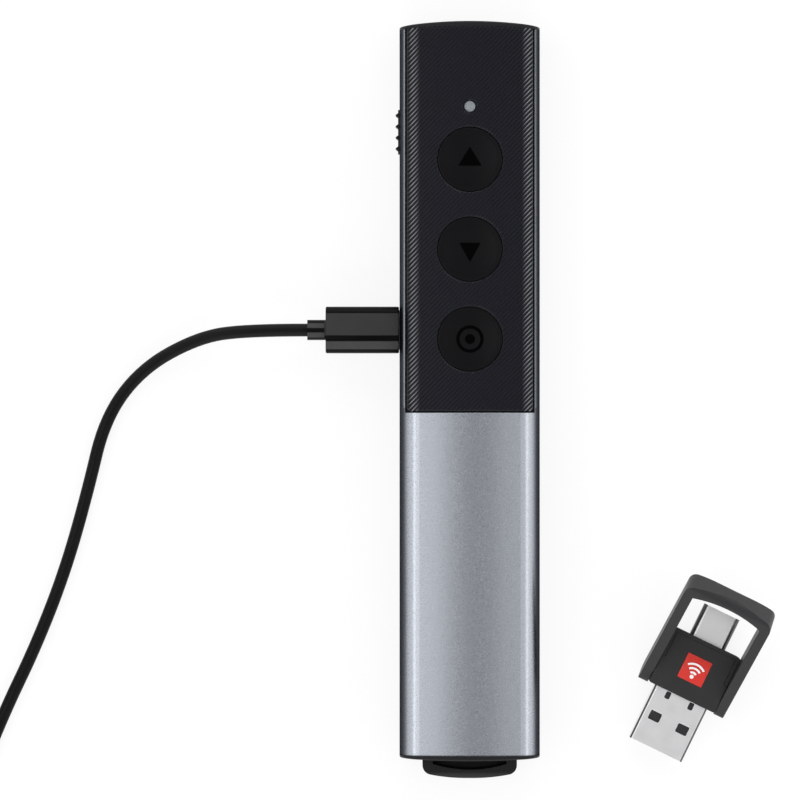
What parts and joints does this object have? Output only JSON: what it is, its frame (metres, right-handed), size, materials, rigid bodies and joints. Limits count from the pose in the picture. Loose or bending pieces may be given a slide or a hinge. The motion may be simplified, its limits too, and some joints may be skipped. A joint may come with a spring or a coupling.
{
  "type": "wireless presentation clicker",
  "caption": "Slim handheld presentation clicker: aluminium sleeve, ribbed button panel, slide switch, charging lead, plug-in receiver in an end bay and one lying beside it.",
  "frame": {"origin": "middle of the flat back face, which lies on the table", "axes": "+Y along the clicker towards its laser end, +X across it to the right, +Z out of the button face"},
  "size_m": [0.2048, 0.1811, 0.0175],
  "materials": {
    "anodised_aluminium": "bead-blasted, anodised grey",
    "ribbed_black_plastic": "fine diagonal ribs, satin",
    "cap_plastic": "satin black",
    "button_plastic": "soft-touch black",
    "lens_plastic": "frosted light pipe",
    "laser_glass": "clear window",
    "inner_plastic": "moulded black",
    "circuit_board": "green solder mask",
    "chip_plastic": "moulded black",
    "switch_body": "moulded black",
    "led_white": "clear",
    "sheet_steel": "nickel plated",
    "screw_steel": "zinc plated",
    "barrel_brass": "turned",
    "cell_foil": "foil pouch",
    "foam": "closed-cell foam",
    "wire_insulation": "coloured insulation",
    "plug_steel": "bright nickel plating",
    "plug_plastic": "glass-filled black",
    "receiver_plastic": "satin dark grey",
    "lead_moulding": "moulded dark grey",
    "cable_sheath": "smooth black sheath"
  },
  "bodies": {
    "clicker": {"housing_sleeve": "anodised_aluminium", "front_panel": "ribbed_black_plastic", "top_cap": "cap_plastic", "laser_window": "laser_glass", "bottom_cap": "cap_plastic", "receiver_bay": "inner_plastic", "bay_springs": "sheet_steel", "chassis": "inner_plastic", "main_board": "circuit_board", "board_screws": "screw_steel", "tact_switches": "switch_body", "radio_shield": "sheet_steel", "board_chips": "chip_plastic", "status_led": "led_white", "led_lens": "lens_plastic", "slide_switch_body": "sheet_steel", "usb_c_port_shell": "sheet_steel", "usb_c_port_tongue": "plug_plastic", "laser_barrel": "barrel_brass", "laser_lens": "laser_glass", "laser_board": "circuit_board", "laser_clip": "inner_plastic", "battery_cell": "cell_foil", "battery_pad": "foam", "battery_leads": "wire_insulation"},
    "up_button": {"button_up": "button_plastic"},
    "down_button": {"button_down": "button_plastic"},
    "laser_button": {"button_laser": "button_plastic"},
    "slider": {"power_slider": "cap_plastic", "slide_switch_knob": "switch_body"},
    "stowed_receiver": {"stowed_back_shell": "receiver_plastic", "stowed_front_cover": "receiver_plastic", "stowed_circuit_board": "circuit_board", "stowed_usb_a_shell": "plug_steel", "stowed_usb_a_tongue": "plug_plastic", "stowed_usb_c_shell": "plug_steel", "stowed_usb_c_insert": "plug_plastic", "stowed_loop": "receiver_plastic"},
    "charge_lead": {"lead_usb_c_shell": "plug_steel", "lead_usb_c_insert": "plug_plastic", "lead_usb_c_grip": "lead_moulding", "lead_strain_relief": "cable_sheath", "lead_usb_a_relief": "cable_sheath", "lead_usb_a_grip": "lead_moulding", "lead_usb_a_shell": "plug_steel", "lead_usb_a_tongue": "plug_plastic", "charge_cable": "cable_sheath", "cable_coil": "cable_sheath", "cable_tie": "cable_sheath", "cable_tail": "cable_sheath"},
    "loose_receiver": {"loose_back_shell": "receiver_plastic", "loose_front_cover": "receiver_plastic", "loose_circuit_board": "circuit_board", "loose_usb_a_shell": "plug_steel", "loose_usb_a_tongue": "plug_plastic", "loose_usb_c_shell": "plug_steel", "loose_usb_c_insert": "plug_plastic"},
    "loose_loop": {"loose_loop": "receiver_plastic"}
  },
  "joints": [
    {"name": "press_up", "type": "slide", "parent": "clicker", "child": "up_button", "axis": [0, 0, -1], "range_m": [0, 0.0005], "stiffness_N_per_m": 1500, "springref_m": -0.0003},
    {"name": "press_down", "type": "slide", "parent": "clicker", "child": "down_button", "axis": [0, 0, -1], "range_m": [0, 0.0005], "stiffness_N_per_m": 1500, "springref_m": -0.0003},
    {"name": "press_laser", "type": "slide", "parent": "clicker", "child": "laser_button", "axis": [0, 0, -1], "range_m": [0, 0.0005], "stiffness_N_per_m": 1500, "springref_m": -0.0003},
    {"name": "power_slide", "type": "slide", "parent": "clicker", "child": "slider", "axis": [0, 1, 0], "range_m": [0, 0.0013]},
    {"name": "receiver_out", "type": "slide", "parent": "clicker", "child": "stowed_receiver", "axis": [0, -1, 0], "range_m": [0, 0.04]},
    {"name": "plug_pull", "type": "slide", "parent": "clicker", "child": "charge_lead", "axis": [-1, 0, 0], "range_m": [0, 0.01]},
    {"name": "receiver_lift", "type": "slide", "parent": "clicker", "child": "loose_receiver", "axis": [0, 0, 1], "range_m": [0, 0.06]},
    {"name": "loop_swing", "type": "hinge", "parent": "loose_receiver", "child": "loose_loop", "pos_m": [0.0453, -0.0608, 0.00325], "axis": [0.8988, -0.4384, 0], "range_deg": [-30, 150]}
  ]
}
